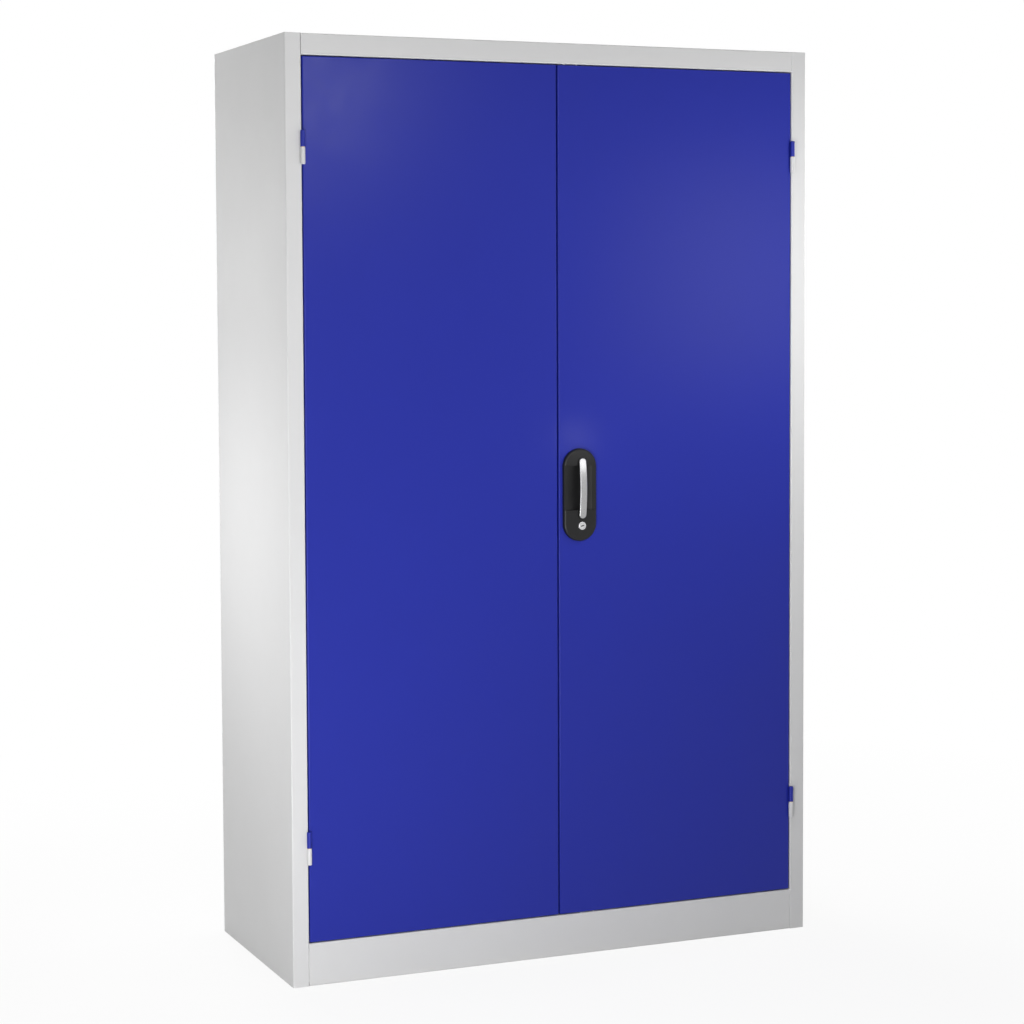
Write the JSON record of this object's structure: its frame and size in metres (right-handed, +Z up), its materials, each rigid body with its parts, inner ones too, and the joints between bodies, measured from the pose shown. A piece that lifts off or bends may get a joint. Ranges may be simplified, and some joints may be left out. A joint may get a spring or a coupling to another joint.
{
  "type": "tool cabinet with doors",
  "caption": "Tall steel cabinet with two hinged doors, shelves hung on slotted uprights and a turning lever that draws two lock rods.",
  "frame": {"origin": "middle of the base of the cabinet's box, on the floor", "axes": "+X to the viewer's right, +Y from the doors to the back panel, +Z up"},
  "size_m": [1.2, 0.521, 1.95],
  "materials": {
    "body_grey": "satin powder coat",
    "door_blue": "satin powder coat",
    "galvanised": "galvanised",
    "zinc_steel": "zinc plated",
    "brass_washer": "plain",
    "buffer_rubber": "matt",
    "shell_black": "fine grain satin",
    "lever_silver": "satin",
    "lock_chrome": "polished"
  },
  "bodies": {
    "cabinet": {"left_side_panel": "body_grey", "right_side_panel": "body_grey", "back_panel": "body_grey", "top_panel": "body_grey", "header": "body_grey", "floor_panel": "body_grey", "front_left_upright": "body_grey", "front_right_upright": "body_grey", "rear_left_upright": "body_grey", "rear_right_upright": "body_grey", "shelf_1": "galvanised", "shelf_2": "galvanised", "shelf_3": "galvanised", "shelf_4": "galvanised", "shelf_stiffeners": "galvanised", "shelf_clips": "galvanised", "upper_left_frame_hinge": "body_grey", "lower_left_frame_hinge": "body_grey", "upper_right_frame_hinge": "body_grey", "lower_right_frame_hinge": "body_grey", "hinge_pins": "zinc_steel", "hinge_washers": "brass_washer", "door_buffers": "buffer_rubber", "upper_keeper": "zinc_steel", "lower_keeper": "zinc_steel", "keeper_screws": "zinc_steel"},
    "left_door": {"left_door_panel": "door_blue", "left_door_channel": "door_blue", "upper_left_door_hinge": "door_blue", "lower_left_door_hinge": "door_blue"},
    "right_door": {"right_door_panel": "door_blue", "right_door_channel": "door_blue", "upper_right_door_hinge": "door_blue", "lower_right_door_hinge": "door_blue", "handle_shell": "shell_black", "handle_screws": "zinc_steel", "lock_case": "zinc_steel", "lock_case_cover": "zinc_steel", "cover_screws": "zinc_steel", "rod_guides": "zinc_steel", "lock_barrel": "lock_chrome", "barrel_nut": "zinc_steel"},
    "handle": {"handle_lever": "lever_silver", "lever_spindle": "zinc_steel", "lock_pinion": "zinc_steel", "spindle_ring": "zinc_steel"},
    "upper_rod": {"upper_rack": "zinc_steel", "upper_lock_rod": "zinc_steel"},
    "lower_rod": {"lower_rack": "zinc_steel", "lower_lock_rod": "zinc_steel"},
    "key_plug": {"lock_plug": "lock_chrome", "lock_cam": "zinc_steel", "cam_screw": "zinc_steel"}
  },
  "joints": [
    {"name": "left_door_hinge", "type": "hinge", "parent": "cabinet", "child": "left_door", "pos_m": [-0.5645, -0.2449, 0.9975], "axis": [0, 0, -1], "range_deg": [0, 180]},
    {"name": "right_door_hinge", "type": "hinge", "parent": "cabinet", "child": "right_door", "pos_m": [0.5645, -0.2449, 0.9975], "axis": [0, 0, 1], "range_deg": [0, 180]},
    {"name": "handle_turn", "type": "hinge", "parent": "right_door", "child": "handle", "pos_m": [0.051, -0.2395, 1.0655], "axis": [0, -1, 0], "range_deg": [0, 90]},
    {"name": "upper_rod_slide", "type": "slide", "parent": "right_door", "child": "upper_rod", "axis": [0, 0, -1], "range_m": [0, 0.0189]},
    {"name": "lower_rod_slide", "type": "slide", "parent": "right_door", "child": "lower_rod", "axis": [0, 0, 1], "range_m": [0, 0.0189]},
    {"name": "key_turn", "type": "hinge", "parent": "right_door", "child": "key_plug", "pos_m": [0.051, -0.2395, 0.9285], "axis": [0, -1, 0], "range_deg": [0, 90]}
  ],
  "couplings": [
    {"joint": "upper_rod_slide", "follows": "handle_turn", "m_per_rad": 0.012},
    {"joint": "lower_rod_slide", "follows": "handle_turn", "m_per_rad": 0.012}
  ]
}
